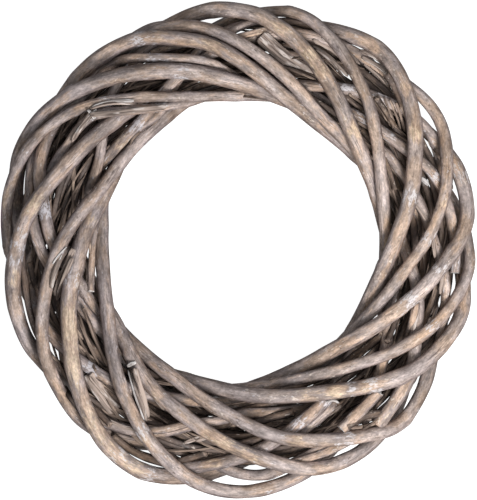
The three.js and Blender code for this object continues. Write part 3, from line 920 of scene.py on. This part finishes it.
# Its grooves run on for this length. They change its width and its thickness by these shares
GROOVE_LENGTH = 12 * MM
GROOVE_ACROSS = 0.1
GROOVE_DEEP = 0.45

# A strip passes over dips in its bed: it keeps to the highest skin within so many steps on each side
DIP_STEPS = 3

# The middle of a strip lies this high above its bed and this far below its covers, and is never lower
# than this above the floor, each as a share of its thickness
ABOVE_BED = 0.4
BELOW_COVER = 0.5
ABOVE_FLOOR = 0.6

# A stiff strip with nothing over it is raised by this share of the most that its bed stands above it
STIFF_LIFT = 0.8

# A strip is marked with only this share of its nearness to rods, because it lies on them all along
STRIP_NEAR = 0.7


def rod_points(routes, kinds, lowest=0.0):
    """Middles and radii of the rods of some kinds, where their middle is at least so high."""
    points, radii = [np.empty((0, 3))], [np.empty(0)]
    for route in routes:
        if route["kind"] in kinds:
            able = route["points"][:, 2] >= lowest
            points.append(route["points"][able])
            radii.append(bark_radius(route)[able])
    return np.vstack(points), np.concatenate(radii)


def make_bed(routes, carriers, covers, cover_height):
    """The rods that carry a strip, those that lie over it, and all of them."""
    return {
        "carriers": rod_points(routes, carriers),
        "covers": rod_points(routes, covers, cover_height),
        "all": rod_points(routes, ROD_KINDS),
    }


def skin_heights(places, rods, way):
    """How high the rods' skin is at places in plan: the topmost skin for way 1, the lowest for -1."""
    points, radii = rods
    heights = np.full(len(places), np.nan)
    for i, place in enumerate(places):
        off = np.sum((points[:, :2] - place)**2, axis=1)
        hit = off < radii**2
        if hit.any():
            skins = points[hit, 2] + way * np.sqrt(radii[hit]**2 - off[hit])
            heights[i] = way * np.max(way * skins)
    return heights


def smoothed(values, reach):
    """A running mean over so many values on each side."""
    padded = np.pad(values, reach, mode="edge")
    return np.convolve(padded, np.ones(2 * reach + 1) / (2 * reach + 1), mode="valid")


def highest_near(values, reach):
    """At each value, the highest of it and so many values on each side."""
    padded = np.pad(values, reach, mode="edge")
    return np.max([padded[k:k + len(values)] for k in range(2 * reach + 1)], axis=0)


def laid_route(places, thick, bed, lift=0.0, bends=None):
    """A route over places in plan that lies on the bed's carriers, or on any rod where none carries it,
    and stays below its covers. Where no rod lies below it, there is none. With bends it runs straight (1)
    or in one even bow (2), as stiff wood does."""
    rest = skin_heights(places, bed["carriers"], 1)
    if np.isnan(rest).all():
        rest = skin_heights(places, bed["all"], 1)
    known = ~np.isnan(rest)
    if not known.any():
        return None
    steps = np.arange(len(places))
    rest = np.interp(steps, steps[known], rest[known])
    heights = smoothed(highest_near(rest, DIP_STEPS), DIP_STEPS + 1) + ABOVE_BED * thick + lift
    ceiling = skin_heights(places, bed["covers"], -1)
    covered = np.minimum(heights, ceiling - BELOW_COVER * thick)
    heights = smoothed(np.where(np.isnan(ceiling), heights, covered), 2)
    if bends:
        bow = np.polyval(np.polyfit(steps, heights, bends), steps)
        if np.isnan(ceiling).all():
            bow += STIFF_LIFT * (heights - bow).max()
        heights = bow
    return np.column_stack([places, np.maximum(heights, ABOVE_FLOOR * thick)])


def photo_line(spots):
    """Places in plan, even steps apart, on a smooth line through some pixels of the photograph."""
    curve = curve_along(np.array([photo_place(*spot) for spot in spots]))
    along = lengths_along(curve)
    even = np.linspace(0, along[-1], max(int(along[-1] / STRIP_STEP), 6) + 1)
    return np.column_stack([np.interp(even, along, curve[:, k]) for k in range(2)])


def strip_sides(rng, points, along, width, tilt):
    """At each point of a strip, the directions across it and out of its top, tilted and wandering."""
    ahead = unit(np.gradient(points, axis=0))
    side = unit(np.cross(ahead, UP))
    top = np.cross(side, ahead)
    lean = tilt + STRIP_LEAN * min(1, LEAN_WIDTH / width) * wander(rng, along, LEAN_LENGTH)
    cosine, sine = np.cos(lean)[:, None], np.sin(lean)[:, None]
    return side * cosine + top * sine, top * cosine - side * sine


def strip_shape(rng, points, width, thick, tilt, tips, shift):
    """Corners, faces and marks of one strip. tips says how wide it still is at its two tips."""
    along = lengths_along(points)
    side, top = strip_sides(rng, points, along, width, tilt)
    fade = np.minimum(along, along[-1] - along) / TIP_LENGTH
    tip = np.where(along < along[-1] / 2, tips[0], tips[1])
    half = 0.5 * width * (1 + EDGE_WAVER * wander(rng, along, EDGE_LENGTH)) * np.clip(tip + fade, 0, 1)
    angles = (np.arange(STRIP_AROUND) + 0.5) * 2 * math.pi / STRIP_AROUND
    cosine, sine = np.cos(angles), np.sin(angles)
    grooves = np.column_stack([wander(rng, along, GROOVE_LENGTH) for _ in angles])
    across = half[:, None] * cosine * (1 + GROOVE_ACROSS * grooves)
    rise = 0.5 * thick * sine * (1 + GROOVE_DEEP * grooves)
    rise *= np.clip(TIP_THICK + fade, 0, 1)[:, None]
    skin = points[:, None, :] + across[..., None] * side[:, None, :] + rise[..., None] * top[:, None, :]
    corners = np.vstack([skin.reshape(-1, 3), points[0], points[-1]])
    facing = sine / np.hypot(sine, cosine * thick / width)
    sideways = np.sqrt(1 - facing**2) * np.sign(cosine)
    crest = facing * top[:, 2:3] + sideways * side[:, 2:3]
    marks = {"straight": straightened(across, rise, along, shift), "crest": np.append(crest, (1, 1))}
    return corners, tube_faces(len(points), STRIP_AROUND), marks


def make_strips(name, shapes, material, neighbours):
    """One piece of several strips side by side."""
    strip_corners, strip_faces, strip_marks = zip(*shapes)
    faces = []
    count = 0
    for own_corners, own_faces in zip(strip_corners, strip_faces):
        faces += [tuple(count + i for i in face) for face in own_faces]
        count += len(own_corners)
    corners = np.vstack(strip_corners)
    marks = {mark: np.concatenate([own[mark] for own in strip_marks]) for mark in strip_marks[0]}
    marks["near"] = STRIP_NEAR * nearness(corners, neighbours)
    piece = make_piece(name, corners, faces, marks, [material])
    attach(piece, "root")


# Short lengths of rod, seen between the long ones: thickness in pixels, kind, and the line in pixels
SHORT_RODS = (
    (7, "binding", (99, 200), (96, 222), (92, 250), (91, 292)),
    (11, "binding", (334, 403), (324, 413), (312, 423), (297, 434)),
    (12, "binding", (379, 391), (367, 404), (354, 417), (341, 430)),
    (8, "binding", (416, 303), (414, 314), (410, 330), (404, 345)),
    (8, "binding", (226, 34), (240, 27), (254, 22), (270, 20)),
    (7, "binding", (232, 39), (246, 35), (262, 31), (278, 28)),
    (8, "core", (258, 27), (280, 21), (304, 24), (330, 34)),
    (7, "binding", (150, 53), (166, 48), (186, 44)),
    (8, "core", (112, 436), (130, 450), (150, 459), (176, 467)),
    (8, "core", (346, 427), (358, 419), (370, 414), (386, 412)),
    (8, "binding", (352, 440), (335, 449), (312, 457), (292, 463)),
    (7, "core", (328, 392), (345, 379), (364, 366)),
    (14, "binding", (410, 374), (401, 391), (391, 407), (378, 425)),
    (9, "core", (338, 370), (353, 358), (370, 345), (385, 332)),
    (6, "core", (387, 342), (394, 325), (402, 306)),
    (7, "core", (272, 394), (290, 388), (310, 382), (328, 374)),
    (9, "core", (250, 424), (270, 418), (294, 412)),
    (7, "core", (386, 74), (396, 90), (403, 108)),
    (6, "core", (376, 98), (386, 112), (395, 127)),
    (6, "binding", (412, 204), (418, 220), (421, 238)),
    (5, "core", (387, 204), (393, 218), (397, 234)),
    (6, "core", (48, 162), (57, 150), (66, 136)),
    (8, "binding", (147, 430), (161, 430), (176, 427), (192, 422)),
    (7, "core", (30, 262), (34, 284), (40, 304)),
    (6, "core", (384, 158), (390, 173), (395, 190)),
    (7, "core", (236, 444), (252, 441), (270, 436)),
    (7, "core", (200, 430), (217, 427), (234, 424)),
    (7, "core", (172, 463), (188, 459), (206, 453)),
    (7, "core", (88, 402), (99, 413), (111, 425)),
    (6, "core", (64, 388), (71, 398), (80, 409)),
    (6, "core", (146, 371), (158, 379), (172, 387)),
)

# Short rods are numbered on from here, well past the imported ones, and are rubbed this much all along
FIRST_SHORT_ROD = 40
SHORT_RUB = 0.3


def lay_short_rods(bed, neighbours):
    for k, (across, kind_name, *line) in enumerate(SHORT_RODS):
        thick = across * PIXEL
        points = laid_route(photo_line(line), thick, bed, bends=2)
        radius = np.full(len(points), thick / 2 / ROD_KINDS[kind_name]["share"])
        route = {"kind": kind_name, "points": points, "radius": radius, "along": lengths_along(points)}
        plain = np.zeros(len(points))
        make_rod(f"short_rod_{k + 1}", FIRST_SHORT_ROD + k, route, neighbours, plain + SHORT_RUB, plain)


# Split and torn wood that shows in the photograph: its name, finish and bed, then for each strip
# its width and its line in pixels across and down
TORN = (
    ("leaf_split", "torn_wood", "top", (
        (14, (261, 36), (274, 48), (290, 61), (313, 74)),)),
    ("split_top_1", "torn_wood", "under", (
        (5, (313, 40), (334, 50), (352, 68)),
        (4, (312, 45), (330, 57), (348, 76)),
        (4, (322, 38), (345, 50), (360, 64)),
        (3, (316, 49), (332, 62), (346, 80)))),
    ("bright_top_1", "cut_wood", "under", (
        (1.6, (341, 57), (347, 64), (355, 77)),)),
    ("split_top_2", "torn_wood", "under", (
        (6, (360, 50), (378, 58), (396, 72)),
        (5, (362, 57), (380, 67), (393, 80)),
        (4, (364, 64), (378, 75), (388, 86)))),
    ("splinters_1", "shredded_bark", "under", (
        (3, (349, 94), (358, 100), (366, 107)),
        (3, (372, 96), (380, 108), (388, 122)),
        (3, (378, 96), (385, 110), (391, 126)),
        (2.5, (384, 98), (390, 112), (396, 128)),
        (2.5, (390, 100), (396, 114), (401, 130)),
        (3, (396, 103), (401, 117), (405, 131)),
        (4, (401, 104), (406, 117), (411, 131)))),
    ("bright_splinters", "cut_wood", "under", (
        (1.4, (393, 80), (392, 85), (391, 90)),)),
    ("kink_tear", "torn_wood", "top", (
        (5.5, (93, 112), (86, 121), (79, 130), (72, 142)),
        (6, (90, 115), (106, 114), (124, 112), (142, 110), (166, 107)))),
    ("kink_gleam", "cut_wood", "top", (
        (3.4, (88, 117), (82, 125), (76, 134)),
        (3.2, (93, 107), (104, 103), (118, 101), (134, 101)),
        (1.8, (150, 107), (159, 106), (168, 106)))),
    ("kink_knob", "cut_wood", "top", (
        (4, (88, 110), (92, 114), (95, 119)),
        (3, (97, 110), (91, 114), (86, 119)))),
    ("kink_peel", "torn_wood", "top", (
        (4, (90, 109), (102, 105), (118, 103), (138, 104)),)),
    ("broken_rod_1", "torn_wood", "top", (
        (6, (69, 246), (61, 258), (55, 272), (51, 288)),
        (6, (74, 249), (67, 264), (60, 280), (55, 296)),
        (5, (73, 258), (67, 271), (61, 286), (57, 300)))),
    ("broken_gleam_1", "cut_wood", "top", (
        (2, (67, 247), (58, 256), (53, 264)),
        (1.6, (62, 255), (56, 268), (51, 280)))),
    ("split_low_1", "torn_wood", "top", (
        (6, (130, 368), (135, 386), (141, 404), (146, 421)),
        (6, (135, 368), (140, 386), (145, 402), (148, 418)))),
    ("split_low_light", "cut_wood", "top", (
        (2, (128, 370), (132, 386), (138, 404), (144, 420)),
        (4.5, (127, 366), (131, 364), (136, 362)))),
    ("split_low_2", "torn_wood", "under", (
        (9, (86, 375), (94, 388), (104, 402), (113, 413)),
        (8, (91, 374), (100, 386), (110, 398), (119, 408)),
        (4, (108, 420), (126, 428), (146, 431)))),
    ("strips_left", "shredded_bark", "under", (
        (4, (78, 314), (84, 332), (92, 350), (101, 367)),
        (4, (84, 308), (91, 328), (99, 348), (107, 366)),
        (3, (74, 322), (80, 340), (88, 356), (96, 371)))),
    ("low_end_2", "torn_wood", "under", (
        (5, (184, 443), (190, 441), (198, 438), (208, 434)),)),
    ("low_flakes", "torn_wood", "under", (
        (4, (120, 445), (127, 448), (135, 450)),
        (4, (196, 441), (206, 438), (216, 434)),
        (3, (150, 392), (156, 400), (164, 410)))),
    ("low_right_1", "cut_wood", "under", (
        (3, (339, 403), (333, 400), (327, 402)),
        (3, (381, 393), (376, 391), (371, 393)))),
    ("low_right_2", "torn_wood", "under", (
        (4, (402, 386), (390, 400), (377, 412), (361, 428)),
        (4, (344, 404), (330, 414), (312, 424)))),
    ("low_right_3", "shredded_bark", "under", (
        (9, (344, 434), (362, 431), (384, 423)),
        (5, (350, 428), (366, 426), (382, 420)))),
    ("right_ends", "cut_wood", "under", (
        (5, (421, 178), (425, 181), (429, 185)),
        (4, (414, 305), (416, 312), (417, 320)))),
    ("right_strips", "torn_wood", "under", (
        (5, (414, 202), (420, 210), (428, 222)),
        (4, (432, 236), (434, 246), (435, 258)),
        (4, (443, 268), (442, 280), (440, 294)),
        (5, (416, 280), (415, 292), (413, 304)),
        (5, (418, 306), (416, 318), (412, 331)))),
)

# All torn strips are this thick, each strip of a piece lies this much above the one before, and a strip
# of fewer places than this is straight, where a longer one has one bow
TORN_THICK = 1.3 * MM
TORN_LIFT = 0.25 * MM
STRAIGHT_PLACES = 16

# How much a torn strip may tilt, in radians, less so where it is wider than so many pixels
TORN_TILT = 0.35
TORN_TILT_WIDTH = 5

# How wide the tips of a torn strip still are, at random, and those of a cut one
TORN_TIPS = (0.3, 0.8)
CUT_TIPS = (0.7, 0.7)

# Torn strips are numbered on from here, with room for so many in a piece
FIRST_TORN_STRIP = 60
ROOM_IN_PIECE = 10

TORN_SEED = 61


def lay_torn_strips(beds, neighbours):
    rng = np.random.default_rng(TORN_SEED)
    for row, (name, finish, bed_name, strips) in enumerate(TORN):
        shapes = []
        for k, (width, *line) in enumerate(strips):
            places = photo_line(line)
            bends = 1 if len(places) < STRAIGHT_PLACES else 2
            points = laid_route(places, TORN_THICK, beds[bed_name], k * TORN_LIFT, bends)
            tilt = rng.uniform(-TORN_TILT, TORN_TILT) * min(1, TORN_TILT_WIDTH / width)
            tips = CUT_TIPS if finish == "cut_wood" else rng.uniform(*TORN_TIPS, 2)
            shift = ROD_SHIFT * (FIRST_TORN_STRIP + ROOM_IN_PIECE * row + k)
            shapes.append(strip_shape(rng, points, width * PIXEL, TORN_THICK, tilt, tips, shift))
        make_strips(name, shapes, finishes[finish], neighbours)


# Thin shreds all round the core: how many sectors, how many in each, and between which radii they lie
SHRED_SECTORS = 8
SHREDS = 22
SHRED_INNER = 91 * MM
SHRED_OUTER = 133 * MM

# A shred's length, width and thickness, how high it may lie above its bed, how much it may slope out
# of the ring and tilt, both in radians, and how wide its tips are
SHRED_LENGTH = (22 * MM, 70 * MM)
SHRED_WIDTH = (0.9 * MM, 2.4 * MM)
SHRED_THICK = (0.5 * MM, 0.9 * MM)
SHRED_LIFT = 1.2 * MM
SHRED_SLOPE = 0.35
SHRED_TILT = 0.8
SHRED_TIPS = (0.2, 0.2)

# Shreds are numbered on from here
FIRST_SHRED = 400

SHRED_SEED = 62


def shred_places(rng, bearing):
    """Places in plan of a shred that runs more or less along the ring."""
    radius = rng.uniform(SHRED_INNER, SHRED_OUTER)
    length = rng.uniform(*SHRED_LENGTH)
    slope = math.tan(rng.uniform(-SHRED_SLOPE, SHRED_SLOPE))
    t = np.linspace(-0.5, 0.5, max(int(length / STRIP_STEP), 6)) * length
    angle = bearing + t / radius
    out = np.clip(radius + slope * t, SHRED_INNER, SHRED_OUTER)
    return RING_AXIS + np.column_stack([out * np.cos(angle), out * np.sin(angle)])


def lay_shreds(bed, neighbours):
    rng = np.random.default_rng(SHRED_SEED)
    for sector in range(SHRED_SECTORS):
        shapes = []
        for k in range(SHREDS):
            bearing = (sector + rng.uniform(0, 1)) * 2 * math.pi / SHRED_SECTORS
            places = shred_places(rng, bearing)
            thick = rng.uniform(*SHRED_THICK)
            points = laid_route(places, thick, bed, rng.uniform(0, SHRED_LIFT))
            if points is None:
                continue
            width = rng.uniform(*SHRED_WIDTH)
            tilt = rng.uniform(-SHRED_TILT, SHRED_TILT)
            shift = ROD_SHIFT * (FIRST_SHRED + sector * SHREDS + k)
            shapes.append(strip_shape(rng, points, width, thick, tilt, SHRED_TIPS, shift))
        make_strips(f"core_shreds_{sector + 1}", shapes, finishes["shredded_bark"], neighbours)


# The whole wreath

nodes = sorted(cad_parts, key=lambda name: (kind_of(name) == "core", kind_of(name), name))
routes = [packed_route(node) for node in nodes]
cover_rods(nodes, routes)

beds = {name: make_bed(routes, *bed) for name, bed in BEDS.items()}
all_rods = rod_tree(routes)
lay_short_rods(beds["under"], all_rods)
lay_torn_strips(beds, all_rods)
lay_shreds(beds["core"], all_rods)
